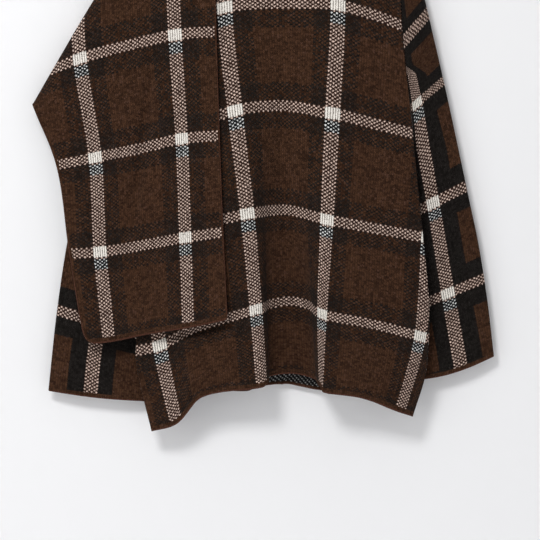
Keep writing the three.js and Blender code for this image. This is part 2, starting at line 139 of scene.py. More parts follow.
def mesh_piece(name, points, faces, material, uvs=None, behind=None):
    """A mesh object from points and faces, with any number of named UV maps given per point.

    Behind is a second material, for the second half of the faces.
    """
    mesh = bpy.data.meshes.new(name)
    mesh.from_pydata(points.tolist(), [], faces)
    corner = np.empty(len(mesh.loops), int)
    mesh.loops.foreach_get("vertex_index", corner)
    for uv_name, values in (uvs or {}).items():
        layer = mesh.uv_layers.new(name=uv_name)
        layer.data.foreach_set("uv", values[corner].astype(np.float32).ravel())
    mesh.polygons.foreach_set("use_smooth", np.ones(len(mesh.polygons), bool))
    mesh.materials.append(material)
    if behind:
        mesh.materials.append(behind)
        number = np.arange(len(mesh.polygons))
        mesh.polygons.foreach_set("material_index", (number >= len(number) // 2).astype(np.int32))
    piece = bpy.data.objects.new(name, mesh)
    bpy.context.scene.collection.objects.link(piece)
    return piece


def hanger_top(x):
    """Height of the bar's top edge at places across it."""
    return curve(hanger_top_across, hanger_top_height, np.abs(x))


def make_hanger():
    steps, around = 72, 28
    x = np.linspace(-hanger_half_width, hanger_half_width, steps + 1)
    taper = (np.abs(x) / hanger_half_width) ** 1.5
    tall = hanger_middle_tall + (hanger_end_tall - hanger_middle_tall) * taper
    top = hanger_top(x)
    turn = np.arange(around) / around * 2 * math.pi
    side, up = (np.sign(v) * np.abs(v) ** hanger_roundness for v in (np.sin(turn), np.cos(turn)))
    points = np.stack(np.broadcast_arrays(
        x[:, None],
        hanger_thickness / 2 * side,
        (top - tall / 2)[:, None] + (tall / 2)[:, None] * up,
    ), axis=-1)
    number = np.arange((steps + 1) * around).reshape(steps + 1, around)
    ends = [number[0].tolist(), number[-1, ::-1].tolist()]
    return mesh_piece("wooden_hanger", points.reshape(-1, 3), quads(closed(number)) + ends, wood)


hanger = make_hanger()
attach(hanger, "root")
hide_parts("hanger")

# The hook: bright steel wire, bent to a round and screwed into the middle of the hanger. Its inside top
# is what a rail carries. The wire built here stops just clear of the wood.
hook_inside_radius = 18 * MM
hook_wire_radius = 1.8 * MM
hook_shank = 16 * MM
hook_shank_clear = 0.5 * MM
hook_jog_across = 2 * MM
hook_jog_down = 5 * MM
hook_arc_degrees = range(-55, 201, 17)
bright_steel = (0.62, 0.62, 0.64)

steel, steel_shader = new_material("bright wire", bright_steel, 0.22, 1.0)
scratches = steel.node_tree.nodes.new("ShaderNodeTexNoise")
scratches.inputs["Scale"].default_value = 900
wear = steel.node_tree.nodes.new("ShaderNodeMapRange")
wear.inputs["To Min"].default_value = 0.16
wear.inputs["To Max"].default_value = 0.34
steel.node_tree.links.new(scratches.outputs["Fac"], wear.inputs["Value"])
steel.node_tree.links.new(wear.outputs["Result"], steel_shader.inputs["Roughness"])


def make_hook():
    ring = hook_inside_radius + hook_wire_radius
    centre = -hook_inside_radius
    stem = float(hanger_top(0)[0]) + hook_shank_clear
    route = [(0, stem), (0, stem + hook_shank), (hook_jog_across, centre - ring - hook_jog_down)]
    for turn in hook_arc_degrees:
        angle = math.radians(turn)
        route.append((ring * math.cos(angle), centre + ring * math.sin(angle)))
    wire = bpy.data.curves.new("hook", "CURVE")
    wire.dimensions = "3D"
    wire.bevel_depth = hook_wire_radius
    wire.bevel_resolution = 4
    wire.use_fill_caps = True
    line = wire.splines.new("BEZIER")
    line.bezier_points.add(len(route) - 1)
    for point, (x, z) in zip(line.bezier_points, route):
        point.co = (x, 0, z)
        point.handle_left_type = "AUTO"
        point.handle_right_type = "AUTO"
    wire.materials.append(steel)
    piece = bpy.data.objects.new("wire_hook", wire)
    bpy.context.scene.collection.objects.link(piece)
    return piece


hook = make_hook()
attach(hook, "root")
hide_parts("hanger_hook")

# The front: a thick double jacquard knit in wool, dark brown with a windowpane check in cream.
# It is one flat piece, seamed at the shoulders and sides, that falls in two soft flutes.
knit_wall = 3 * MM
seam_gap = 0.5 * MM
repeat_wales = 42
repeat_courses = 56
knit_relief = 1.3 * MM
mean_brown = (0.06, 0.03, 0.02)


def add_math(tree, kind, *values):
    """One Math node. Numbers are set on its sockets, and sockets are linked to it."""
    node = tree.nodes.new("ShaderNodeMath")
    node.operation = kind
    for socket, value in zip(node.inputs, values):
        if isinstance(value, (int, float)):
            socket.default_value = value
        else:
            tree.links.new(value, socket)
    return node.outputs[0]


def mixed(tree, mask, below, above):
    """One colour over another where the mask is 1. A colour is three numbers or a socket."""
    node = tree.nodes.new("ShaderNodeMix")
    node.data_type = "RGBA"
    tree.links.new(mask, node.inputs["Factor"])
    for name, colour in (("A", below), ("B", above)):
        socket = [s for s in node.inputs if s.name == name and s.type == "RGBA"][0]
        if isinstance(colour, tuple):
            socket.default_value = (*colour, 1)
        else:
            tree.links.new(colour, socket)
    return [s for s in node.outputs if s.type == "RGBA"][0]


def knit_chart(name, band_is_solid):
    """The check as it is charted for the knitting machine, one stitch at a time, with painted shade in its
    gaps.

    Check is the place in repeats of the check. Margin is how far the nearest finished edge is, in margins.
    """
    # Colours of the yarns and of the shade between them
    ground = (0.017, 0.007, 0.0035)
    ground_light = (0.089, 0.041, 0.0215)
    fleck = (0.075, 0.036, 0.022)
    band_dark = (0.006, 0.005, 0.0042)
    band_light = (0.017, 0.0145, 0.013)
    cream = (0.97, 0.73, 0.61)
    cream_solid = (1.0, 0.95, 0.87)
    # The dark stitch's yarn, also used as painted shade in the gaps round the cream stitches
    dark_stitch_and_gap_shade = (0.028, 0.0115, 0.0075)
    teal = (0.0028, 0.0045, 0.0065)
    pale_blue = (0.86, 0.87, 0.85)
    edge_brown = (0.085, 0.034, 0.021)
    # Painted shade in the furrows between cream ridges
    shade_between_ridges = (0.12, 0.085, 0.065)
    # Painted shade in the furrow between two wales
    furrow_shade_colour = (0.008, 0.005, 0.004)
    wrong_side_black = (0.009, 0.0085, 0.009)
    wrong_side_pale = (0.5, 0.5, 0.48)
    # Sizes in stitches
    stripe_half = 3
    line_half = 3.5
    band_wide = 9.5
    band_tall = 12.5
    teal_tall = 7
    wale_stray = 1.3
    course_stray = 1.6
    stitch_dip = 0.9
    # Scales of the noise over one repeat, how full each yarn shows, and how high it stands
    fuzz_scale = 95
    cloud_scale = 7
    fibre_scale = 160
    speck_in_heather = 0.7
    fleck_above = 0.93
    all_brown_below = 0.2
    corner_black = 0.55
    wale_roundness = 1.6
    loop_roundness = 0.9
    blue_fullness = 1.7
    furrow_sharpness = 2.5
    furrow_shade = 0.45
    lip_of_margin = 0.3
    wale_height = 0.55
    loop_height = 0.45
    fibre_height = 0.7
    smoothest = 0.8
    heather_roughness = 0.15

    group = bpy.data.node_groups.new(name, "ShaderNodeTree")
    for label, way, kind in (
        ("Check", "INPUT", "NodeSocketVector"),
        ("Margin", "INPUT", "NodeSocketFloat"),
        ("Colour", "OUTPUT", "NodeSocketColor"),
        ("Wrong side", "OUTPUT", "NodeSocketColor"),
        ("Relief", "OUTPUT", "NodeSocketFloat"),
        ("Roughness", "OUTPUT", "NodeSocketFloat"),
    ):
        group.interface.new_socket(name=label, in_out=way, socket_type=kind)
    given = group.nodes.new("NodeGroupInput")
    result = group.nodes.new("NodeGroupOutput")

    def maths(kind, *values):
        return add_math(group, kind, *values)

    def over(mask, below, above):
        return mixed(group, mask, below, above)

    def noise(scale, detail):
        node = group.nodes.new("ShaderNodeTexNoise")
        node.inputs["Scale"].default_value = scale
        node.inputs["Detail"].default_value = detail
        group.links.new(given.outputs["Check"], node.inputs["Vector"])
        return node

    split = group.nodes.new("ShaderNodeSeparateXYZ")
    group.links.new(given.outputs["Check"], split.inputs[0])

    # Loose fibre makes the edge of every stitch uneven
    strayed = group.nodes.new("ShaderNodeSeparateColor")
    group.links.new(noise(fuzz_scale, 2).outputs["Color"], strayed.inputs[0])

    def counted(share, count, stray, reach):
        """Stitches counted from the check's corner, each a little out of its place."""
        even = maths("MULTIPLY", share, count)
        return maths("ADD", even, maths("MULTIPLY", maths("SUBTRACT", stray, 0.5), reach))

    wale = counted(split.outputs["X"], repeat_wales, strayed.outputs[0], wale_stray)
    course = counted(split.outputs["Y"], repeat_courses, strayed.outputs[1], course_stray)

    # Each stitch is a small V, so a course dips in the middle of every wale
    across = maths("FRACT", wale)
    from_middle = maths("ABSOLUTE", maths("SUBTRACT", across, 0.5))
    dipped = maths("ADD", course, maths("MULTIPLY", from_middle, stitch_dip))
    wale_number = maths("FLOOR", wale)
    course_number = maths("FLOOR", dipped)

    def signed(number, count):
        """Stitches from the middle of the nearest stripe or line."""
        share = maths("DIVIDE", maths("ADD", number, 0.5), count)
        turned = maths("FRACT", maths("ADD", share, 0.5))
        return maths("MULTIPLY", maths("SUBTRACT", turned, 0.5), count)

    from_stripe = maths("ABSOLUTE", signed(wale_number, repeat_wales))
    below_line = signed(course_number, repeat_courses)
    from_line = maths("ABSOLUTE", below_line)
    stripe = maths("LESS_THAN", from_stripe, stripe_half)
    line = maths("LESS_THAN", from_line, line_half)
    stripe_band = maths("LESS_THAN", from_stripe, band_wide)
    line_band = maths("LESS_THAN", from_line, band_tall)
    both = maths("ADD", wale_number, course_number)
    odd = maths("MODULO", maths("ABSOLUTE", both), 2)

    # The brown ground is a heather yarn, so it varies a little from stitch to stitch
    stitch = group.nodes.new("ShaderNodeCombineXYZ")
    group.links.new(wale_number, stitch.inputs[0])
    group.links.new(course_number, stitch.inputs[1])
    speck = group.nodes.new("ShaderNodeTexWhiteNoise")
    speck.noise_dimensions = "2D"
    group.links.new(stitch.outputs[0], speck.inputs["Vector"])
    from_speck = maths("MULTIPLY", speck.outputs["Value"], speck_in_heather)
    from_cloud = maths("MULTIPLY", noise(cloud_scale, 5).outputs["Fac"], 1 - speck_in_heather)
    heather = maths("ADD", from_speck, from_cloud)
    flecked = maths("GREATER_THAN", speck.outputs["Value"], fleck_above)
    brown = over(flecked, over(heather, ground, ground_light), fleck)

    # Beside the stripes and lines black yarn comes to the face between the brown
    either_band = maths("MAXIMUM", stripe_band, line_band)
    black = over(speck.outputs["Value"], band_dark, band_light)
    if band_is_solid:
        banded = over(either_band, brown, black)
    else:
        loose = maths("GREATER_THAN", speck.outputs["Value"], all_brown_below)
        both_bands = maths("MULTIPLY", stripe_band, line_band)
        peppered = maths("MULTIPLY", odd, loose)
        full = maths("MAXIMUM", peppered, maths("MULTIPLY", both_bands, corner_black))
        banded = over(maths("MULTIPLY", either_band, full), brown, black)

    # Stripes and lines show a cream stitch and a dark one by turns, with painted shade in the dark gaps
    # round each
    to_side = maths("MULTIPLY", from_middle, 2)
    bow = maths("SUBTRACT", 1.0, maths("POWER", to_side, wale_roundness))
    within = maths("FRACT", dipped)
    loop = maths("SINE", maths("MULTIPLY", within, math.pi))
    # Painted shade: this profile darkens each pale stitch towards its edges
    stitch_shade_profile = maths("MULTIPLY", bow, maths("POWER", loop, loop_roundness))
    lit = maths("MULTIPLY", odd, stitch_shade_profile)
    dotted = over(lit, dark_stitch_and_gap_shade, cream)
    either = maths("MAXIMUM", stripe, line)
    checked = over(either, banded, dotted)

    # Under each crossing the stripe turns blue-black for a few courses; its pale stitches fade into painted
    # shade at their edges
    past_line = maths("GREATER_THAN", below_line, line_half)
    in_teal = maths("LESS_THAN", below_line, line_half + teal_tall)
    teal_here = maths("MULTIPLY", stripe, maths("MULTIPLY", past_line, in_teal))
    lit_twice = maths("MULTIPLY", lit, lit)
    thin = maths("MINIMUM", 1, maths("MULTIPLY", lit_twice, blue_fullness))
    blued = over(teal_here, checked, over(thin, teal, pale_blue))

    # Where they cross, every stitch is cream, in plain ridges with painted shade in the furrows between
    # them
    crossing = maths("MULTIPLY", stripe, line)
    furrow = maths("POWER", to_side, furrow_sharpness)
    ridged = over(furrow, cream_solid, shade_between_ridges)
    crossed = over(crossing, blued, ridged)

    # The finished edges: a plain brown margin, and a lip in a redder brown
    near_edge = maths("LESS_THAN", given.outputs["Margin"], 1)
    margined = over(near_edge, crossed, brown)
    lip = maths("LESS_THAN", given.outputs["Margin"], lip_of_margin)
    edged = over(lip, margined, edge_brown)

    # Painted shade darkens the furrow between two wales all over the cloth
    finished = over(maths("MULTIPLY", furrow, furrow_shade), edged, furrow_shade_colour)
    group.links.new(finished, result.inputs["Colour"])

    # The wrong side shows all three yarns by turns, in rows of small dots over black, with painted shade
    # round each dot
    third = maths("MODULO", maths("ABSOLUTE", maths("ADD", both, course_number)), 3)
    pale_dot = maths("MULTIPLY", maths("LESS_THAN", third, 0.5), stitch_shade_profile)
    dots = over(pale_dot, wrong_side_black, wrong_side_pale)
    inside_margin = over(near_edge, dots, brown)
    group.links.new(over(lip, inside_margin, edge_brown), result.inputs["Wrong side"])

    # Relief: a rounded wale, the V of each stitch, and loose fibre
    knitted = maths("ADD", maths("MULTIPLY", bow, wale_height), maths("MULTIPLY", loop, loop_height))
    fibre = maths("MULTIPLY", noise(fibre_scale, 3).outputs["Fac"], fibre_height)
    relief = maths("ADD", knitted, fibre)
    group.links.new(relief, result.inputs["Relief"])
    roughness = maths("ADD", smoothest, maths("MULTIPLY", heather, heather_roughness))
    group.links.new(roughness, result.inputs["Roughness"])
    return group


def knit_material(name, chart, face="Colour"):
    """A material with one of the chart's two faces, read by the maps check and margin."""
    material, shader = new_material(name, mean_brown, 0.9)
    tree = material.node_tree
    check = tree.nodes.new("ShaderNodeUVMap")
    check.uv_map = "check"
    margin = tree.nodes.new("ShaderNodeUVMap")
    margin.uv_map = "margin"
    split = tree.nodes.new("ShaderNodeSeparateXYZ")
    knit = tree.nodes.new("ShaderNodeGroup")
    knit.node_tree = chart
    bump = tree.nodes.new("ShaderNodeBump")
    bump.inputs["Distance"].default_value = knit_relief
    bump.inputs["Strength"].default_value = 0.8
    tree.links.new(check.outputs["UV"], knit.inputs["Check"])
    tree.links.new(margin.outputs["UV"], split.inputs[0])
    tree.links.new(split.outputs["X"], knit.inputs["Margin"])
    tree.links.new(knit.outputs[face], shader.inputs["Base Color"])
    tree.links.new(knit.outputs["Roughness"], shader.inputs["Roughness"])
    tree.links.new(knit.outputs["Relief"], bump.inputs["Height"])
    tree.links.new(bump.outputs["Normal"], shader.inputs["Normal"])
    shader.inputs["Specular IOR Level"].default_value = 0.02
    shader.inputs["Sheen Weight"].default_value = 0.02
    shader.inputs["Sheen Roughness"].default_value = 0.6
    return material


body_chart = knit_chart("windowpane check", False)
body_knit = knit_material("windowpane knit", body_chart)
wrong_side = knit_material("wrong side of the knit", body_chart, "Wrong side")

shoulder_course = 0.03
underarm_course = 1.75
side_seam_gap = 0.7
hem_course = 4.87
centre_wale = 1.5
neck_half_width = 0.6
seam_depth = 2
shoulder_roll = 20
front_across = 470
body_down = 780
edge_rows = np.array([0, 0.35, 0.9, 1.7, 3])
beyond_any_margin = 9.0
lip_swell = 0.5 * MM
lip_middle = 0.35
lip_spread = 0.3

# Rows of the front in millimetres: wales run across from the wearer's right side, courses down
front_wales = [-0.3, 0, 0.35, 1, 1.1, 1.3, 1.5, 1.7, 1.9, 2, 2.08, 2.5, 3, 3.3]
front_rows = [
    {
        "course": 0.03,
        "across": [-317, -264, -202, -88, -70, -35, 0, 35, 70, 88, 101, 176, 264, 317],
        "height": [-208, -168, -128, -90, -86, -83, -82, -83, -86, -90, -93, -119, -160, -200],
        "depth": [11, 11, 11, 11, 11, 11, 11, 11, 11, 11, 11, 11, 11, 11],
    },
    {
        "course": 1,
        "across": [-311, -261, -202, -91, -73, -37, 0, 37, 73, 91, 104, 176, 260, 311],
        "height": [-376, -328, -288, -253, -250, -247, -246, -246, -247, -249, -252, -275, -315, -352],
        "depth": [11, 12, 13, 18, 17, 14, 13, 14, 17, 18, 17, 14, 12, 11],
    },
    {
        "course": 2,
        "across": [-297, -246, -186, -74, -57, -25, 4, 33, 64, 82, 95, 166, 247, 297],
        "height": [-496, -472, -451, -419, -415, -411, -410, -414, -421, -423, -426, -444, -464, -480],
        "depth": [16, 19, 24, 34, 33, 22, 14, 22, 32, 34, 34, 28, 21, 18],
    },
    {
        "course": 3,
        "across": [-263, -217, -161, -54, -39, -20, 4, 30, 57, 72, 84, 151, 234, 281],
        "height": [-640, -624, -608, -583, -581, -578, -576, -581, -589, -593, -595, -607, -622, -634],
        "depth": [20, 27, 35, 48, 45, 24, 13, 24, 44, 48, 48, 44, 30, 22],
    },
    {
        "course": 4,
        "across": [-241, -194, -140, -40, -28, -19, 14, 42, 54, 64, 73, 142, 221, 252],
        "height": [-803, -793, -766, -735, -732, -727, -722, -728, -738, -742, -745, -758, -778, -786],
        "depth": [22, 32, 41, 56, 50, 20, 12, 20, 48, 56, 58, 52, 38, 22],
    },
    {
        "course": 4.87,
        "across": [-209, -167, -126, -30, -21, -17, 18, 51, 58, 62, 66, 126, 188, 218],
        "height": [-930, -917, -874, -858, -851, -842, -838, -846, -855, -859, -866, -875, -898, -909],
        "depth": [24, 36, 50, 60, 48, 16, 12, 16, 46, 58, 62, 60, 44, 24],
    },
]
side_courses = [0.03, 1, 2, 3, 4, 4.4, 4.87]
right_side_wales = [0.42, 0.4, 0.23, 0.03, -0.25, -0.28, -0.29]
left_side_wales = [2.58, 2.6, 2.77, 2.95, 3.12, 3.22, 3.21]


def on_panel(rows, wales, wale, course):
    """Across, height and depth in millimetres of places on a panel."""
    courses = [row["course"] for row in rows]
    found = []
    for key in ("across", "height", "depth"):
        table = np.stack([curve(wales, row[key], wale) for row in rows])
        found.append(curve(courses, table, course))
    return found


def roll(below, height):
    """How far the cloth has rolled over the shoulder: 0 at the seam, 1 where it hangs."""
    left = np.clip(1 - below / height, 0, 1)
    return np.sqrt(1 - left * left)


def eased(value, low, high):
    """0 up to low, 1 from high on, and a smooth step between them."""
    u = np.clip((value - low) / (high - low), 0, 1)
    return u * u * (3 - 2 * u)


def side_wale(course, share):
    """The wale at a share of the way from the wearer's right side seam to the left one."""
    right = curve(side_courses, right_side_wales, course)
    left = curve(side_courses, left_side_wales, course)
    return right + (left - right) * share


def neck_drop(wale, drop):
    """How many repeats the round of the neckline is cut down at a wale."""
    off = np.abs(wale - centre_wale) / neck_half_width
    return drop * np.sqrt(np.clip(1 - off * off, 0, 1))


def body_course(share, fall, drop):
    """The course at a share of the way down from the shoulder or the neckline to the hem."""
    top = shoulder_course + neck_drop(side_wale(np.full_like(share, shoulder_course), share), drop)
    return top + (hem_course - top) * fall


def on_front(share, course):
    """Across, height and depth in millimetres on the front, with the roll over the shoulder."""
    wale = side_wale(course, share)
    x, z, depth = on_panel(front_rows, front_wales, wale, course)
    shoulder = on_panel(front_rows, front_wales, wale, np.full_like(course, shoulder_course))
    turn = roll(shoulder[1] - z, shoulder_roll)
    return x, z, seam_depth + (depth - seam_depth) * turn


def spread(count, length, rolled=0.0):
    """Shares from 0 to 1 along a length in millimetres, to set the rows of a net.

    They are close together at both ends, where the cloth's edge is rounded, and over a shoulder's roll.
    """
    rounding = edge_rows / length
    start = rounding
    if rolled:
        start = np.concatenate([rounding, np.linspace(5, rolled, 8) / length])
    middle = np.linspace(start[-1], 1 - rounding[-1], count + 1)[1:-1]
    return np.concatenate([start, middle, 1 - rounding[::-1]])


def creased(x, z, creases):
    """Depth in millimetres that soft troughs (below 0) and ridges (above 0) add at places.

    Each crease is a line from one place to another that fades towards both of its ends.
    """
    total = np.zeros_like(x)
    for crease in creases:
        ax, az = crease["start"]
        bx, bz = crease["end"]
        length = math.hypot(bx - ax, bz - az)
        along = ((x - ax) * (bx - ax) + (z - az) * (bz - az)) / length ** 2
        bend = crease.get("bend", 0) * np.sin(np.clip(along, 0, 1) * math.pi)
        off = ((x - ax) * (bz - az) - (z - az) * (bx - ax)) / length - bend
        fade = np.sin(np.clip(along, 0, 1) * math.pi) ** 0.7
        total += crease["deep"] * fade * np.exp(-0.5 * (off / crease["wide"]) ** 2)
    return total


def facing(points, side):
    """The way each point of a net looks, out of the garment."""
    along = np.gradient(points, axis=1)
    fall = np.gradient(points, axis=0)
    normal = np.cross(fall, along) * side
    return normal / np.maximum(np.linalg.norm(normal, axis=2, keepdims=True), 1e-12)


def run(points, axis):
    """Distance walked over the cloth along one axis of a net of points."""
    step = np.linalg.norm(np.diff(points, axis=axis), axis=2)
    zero = np.zeros_like(np.take(step, [0], axis=axis))
    return np.cumsum(np.concatenate([zero, step], axis=axis), axis=axis)


def two_walls(name, face, back, inner, maps, material, turned, goes_round=False):
    """A mesh with two walls of cloth, from nets of points. They share all points but the inner ones."""
    number = np.arange(inner.size).reshape(inner.shape)
    back_number = number.copy()
    back_number[inner] = inner.size + np.arange(inner.sum())
    if goes_round:
        number, back_number = closed(number), closed(back_number)
    places = np.concatenate([face.reshape(-1, 3), back[inner]])
    joined = {key: np.concatenate([grid.reshape(-1, 2), grid[inner]]) for key, grid in maps.items()}
    faces = quads(number, turned) + quads(back_number, not turned)
    return mesh_piece(name, places, faces, material, joined, wrong_side)


def sheet_piece(name, points, check, finished, side, material):
    """A wall of cloth with rounded edges.

    Finished gives how wide the plain margin is at the left, right, top and bottom edge, or 0 at a seam.
    The margin map counts in margins: below 1 is plain brown.
    """
    across, down = run(points, 1), run(points, 0)
    edges = (across, across[:, -1:] - across, down, down[-1:, :] - down)
    nearest = np.minimum.reduce(edges)
    margin = np.minimum.reduce([np.full(nearest.shape, beyond_any_margin)] + [
        edge / (wide * MM) for edge, wide in zip(edges, finished) if wide
    ])
    half = knit_wall / 2
    rounding = half * (1 - np.sqrt(1 - np.clip(1 - nearest / half, 0, 1) ** 2))
    lip = lip_swell * np.exp(-((margin - lip_middle) / lip_spread) ** 2)
    out = facing(points, side)
    face = points + out * (lip - rounding)[..., None]
    back = points - out * (knit_wall + lip - rounding)[..., None]
    inner = np.zeros(nearest.shape, bool)
    inner[1:-1, 1:-1] = True
    maps = {"check": check, "margin": np.stack([margin, nearest], axis=-1)}
    return two_walls(name, face, back, inner, maps, material, side < 0)


def net(shares, falls):
    """Every pair of a share across and a fall down, in a row, with the shape of the net."""
    share, fall = np.meshgrid(shares, falls)
    return share.ravel(), fall.ravel(), share.shape


def cloth_net(x, z, depth, wale, course, shape):
    """A net of points in metres, and its places in repeats of the check, from millimetres in a row."""
    points = np.stack([x, -depth, z], axis=1).reshape(*shape, 3) * MM
    check = np.stack([wale, course], axis=1).reshape(*shape, 2)
    return points, check


def inside_seams(share, fall, top, side):
    """0 where a panel's seams hold the cloth smooth, and 1 well inside, where it may crease.

    Top and side say where creases begin and where they are full, in shares of the panel.
    """
    return eased(fall, *top) * eased(np.minimum(share, 1 - share), *side)


front_neck_drop = 0.42
front_margins = (0, 0, 6, 8)
front_creases_begin = {"top": (0, 0.08), "side": (0, 0.06)}
front_creases = [
    {"start": (-222, -790), "end": (-70, -754), "wide": 6, "deep": -12},
    {"start": (-170, -150), "end": (-120, -420), "wide": 14, "deep": -2.5},
    {"start": (196, -180), "end": (120, -330), "wide": 12, "deep": 2.5, "bend": 8},
    {"start": (190, -300), "end": (130, -430), "wide": 12, "deep": -2.2},
    {"start": (150, -420), "end": (168, -760), "wide": 16, "deep": -3},
    {"start": (108, -520), "end": (112, -860), "wide": 13, "deep": 2.2, "bend": -4},
    {"start": (196, -620), "end": (206, -900), "wide": 9, "deep": 2.5},
    {"start": (-60, -200), "end": (-80, -520), "wide": 16, "deep": 2},
    {"start": (60, -190), "end": (48, -420), "wide": 15, "deep": -1.8},
    {"start": (-120, -640), "end": (-96, -880), "wide": 11, "deep": -2.5},
    {"start": (-150, -760), "end": (-140, -930), "wide": 9, "deep": 2.5},
]


def make_front():
    share, fall, shape = net(spread(150, front_across), spread(170, body_down, shoulder_roll))
    course = body_course(share, fall, front_neck_drop)
    x, z, depth = on_front(share, course)
    wale = side_wale(course, share)
    depth = depth + creased(x, z, front_creases) * inside_seams(share, fall, **front_creases_begin)
    points, check = cloth_net(x, z, depth, wale, course, shape)
    return sheet_piece("front", points, check, front_margins, 1, body_knit)


front = make_front()
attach(front, "root")
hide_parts("front_panel")

# The back: the same knit, one flat piece that hangs straight down behind the hanger.
# Its sides come forward under the armholes, where they are seamed to the front.
back_depth = -13
back_neck_drop = 0.12
back_margins = (0, 0, 6, 5)
back_across = 460
back_sag = 18
back_comes_forward = 0.4
back_levels_out = (1, 3)
back_shares = [0, 0.08, 0.14, 0.22, 0.3, 0.5]
back_swing = [1, 0.97, 0.8, 0.08, 0, 0]
back_creases_begin = {"top": (0.05, 0.15), "side": (0.1, 0.25)}
back_creases = [
    {"start": (-60, -200), "end": (-40, -800), "wide": 16, "deep": 1.6},
    {"start": (70, -260), "end": (60, -840), "wide": 14, "deep": 1.6},
    {"start": (0, -420), "end": (10, -860), "wide": 14, "deep": -1.4},
]


def back_depth_at(share, course):
    """Depth of the back in millimetres: flat in the middle, and up to the front at its sides."""
    _, shoulder, _ = on_front(share, np.full_like(course, shoulder_course))
    _, here, _ = on_front(share, course)
    turn = roll(shoulder - here, shoulder_roll)
    hung = -seam_depth + (back_depth + seam_depth) * turn
    _, _, edge = on_front(np.where(share < 0.5, 0.0, 1.0), course)
    joined = edge - 2 * knit_wall / MM - side_seam_gap
    below = eased(course, underarm_course - back_comes_forward, underarm_course)
    swing = np.interp(np.minimum(share, 1 - share), back_shares, back_swing)
    return hung + (joined - hung) * below * swing


def on_back(share, course):
    """Across, height and depth in millimetres on the back, which hangs straighter than the front."""
    right, _, _ = on_front(np.zeros_like(share), course)
    left, _, _ = on_front(np.ones_like(share), course)
    x, z, _ = on_front(share, course)
    level = eased(course, *back_levels_out)
    x = x + (right + (left - right) * share - x) * level
    middle = np.maximum(0, 1 - np.abs(share - 0.5) * 4)
    z = z - back_sag * middle * eased(course, back_levels_out[1], hem_course)
    return x, z, back_depth_at(share, course)


def make_back():
    share, fall, shape = net(spread(110, back_across), spread(150, body_down, shoulder_roll))
    course = body_course(share, fall, back_neck_drop)
    x, z, depth = on_back(share, course)
    wale = side_wale(course, share)
    depth = depth + creased(x, z, back_creases) * inside_seams(share, fall, **back_creases_begin)
    points, check = cloth_net(x, z, depth, wale, course, shape)
    return sheet_piece("back", points, check, back_margins, -1, body_knit)


back = make_back()
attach(back, "root")
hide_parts("back_panel")

# The sleeves: wide tubes of the same knit, set straight onto the dropped armholes, with a plain edge
# at the cuff. Their bands are solid black where the body's are mixed with brown.
sleeve_chart = knit_chart("windowpane check on sleeves", True)
sleeve_knit = knit_material("windowpane knit of the sleeves", sleeve_chart)
sleeve_length = 760
sleeve_middle = -2.5
sleeve_half_depth = 9
seam_half_depth_least = 5.5
fold_half_depth = 5
fold_roundness = 0.35
crowding_at_folds = 0.75
cuff_margin = 7
cuff_bows = {"left_sleeve": 12, "right_sleeve": 3}
sleeve_creases_begin = (0.05, 0.15)
# Rings from the shoulder to the cuff: how free of the armhole each hangs, and where its outer and its
# inner fold lie, across and in height
ring_free = [0, 0.12, 0.35, 0.65, 0.9, 1, 1, 1, 1, 1]
left_rings = {
    "outer": [
        (194, -125), (212, -173), (233, -240), (247, -309), (263, -381),
        (281, -464), (300, -554), (316, -630), (330, -718), (341, -811),
    ],
    "inner": [
        (206, -419), (211, -438), (212, -461), (209, -493), (198, -531),
        (188, -584), (177, -640), (170, -696), (169, -760), (175, -849),
    ],
}
right_rings = {
    "outer": [
        (-197, -125), (-222, -173), (-249, -240), (-268, -309), (-286, -381),
        (-306, -464), (-326, -544), (-345, -635), (-361, -744), (-374, -866),
    ],
    "inner": [
        (-206, -419), (-210, -438), (-211, -461), (-209, -493), (-204, -531),
        (-201, -584), (-198, -640), (-196, -704), (-199, -792), (-207, -883),
    ],
}
# Where the sleeve's lines lie: course, a place on the line, and its rise towards the outer edge
left_lines = [
    (0, (232, -150), 1.2), (0.94, (216, -269), 1.18), (1.06, (216, -298), 1.14), (2, (238, -386), 0.86),
    (3, (275, -550), 0.5), (4, (305, -694), 0.42), (4.9, (325, -832), 0.3),
]
right_lines = [
    (0, (-232, -150), 1.2), (1, (-216, -283), 1.16), (2, (-238, -386), 0.86), (3, (-290, -590), 0.4),
    (4, (-346, -741), 0.3), (4.9, (-330, -892), 0.12),
]
# The middle of each sleeve's stripe, and how wide a repeat shows there, by height
left_stripe = {
    "height": [-880, -826, -712, -572, -480, -410, -357, -343, -150],
    "middle": [290, 287, 267, 244, 227.5, 218, 208, 188, 165],
    "repeat": [162, 162, 157, 150, 158, 122, 100, 90, 85],
}
left_back_stripe = {
    "height": [-880, -826, -712, -572, -410, -340, -150],
    "middle": [290, 287, 267, 244, 218, 212, 200],
    "repeat": [162, 162, 157, 150, 140, 135, 130],
}
right_stripe = {
    "height": [-880, -826, -712, -572, -410, -340, -150],
    "middle": [-307, -302, -288, -262, -226, -216, -198],
    "repeat": [162, 162, 157, 142, 105, 90, 80],
}
sleeve_creases = {
    "left_sleeve": [
        {"start": (208, -262), "end": (262, -300), "wide": 6, "deep": 3},
        {"start": (210, -290), "end": (262, -335), "wide": 6, "deep": -2.5},
        {"start": (224, -330), "end": (300, -620), "wide": 10, "deep": 2},
        {"start": (250, -560), "end": (292, -800), "wide": 12, "deep": -1.8},
    ],
    "right_sleeve": [
        {"start": (-230, -330), "end": (-310, -640), "wide": 11, "deep": 2},
        {"start": (-270, -560), "end": (-330, -860), "wide": 12, "deep": -2},
        {"start": (-250, -640), "end": (-262, -880), "wide": 10, "deep": 1.6},
    ],
}


def armhole(side, share):
    """Places along one armhole: across, height, and the depths of the front and the back there.

    Side is 1 at the wearer's left armhole and 0 at the right one.
    """
    course = shoulder_course + (underarm_course - shoulder_course) * share
    sides = np.full_like(share, side)
    x, z, depth = on_front(sides, course)
    return x, z, depth, back_depth_at(sides, course)


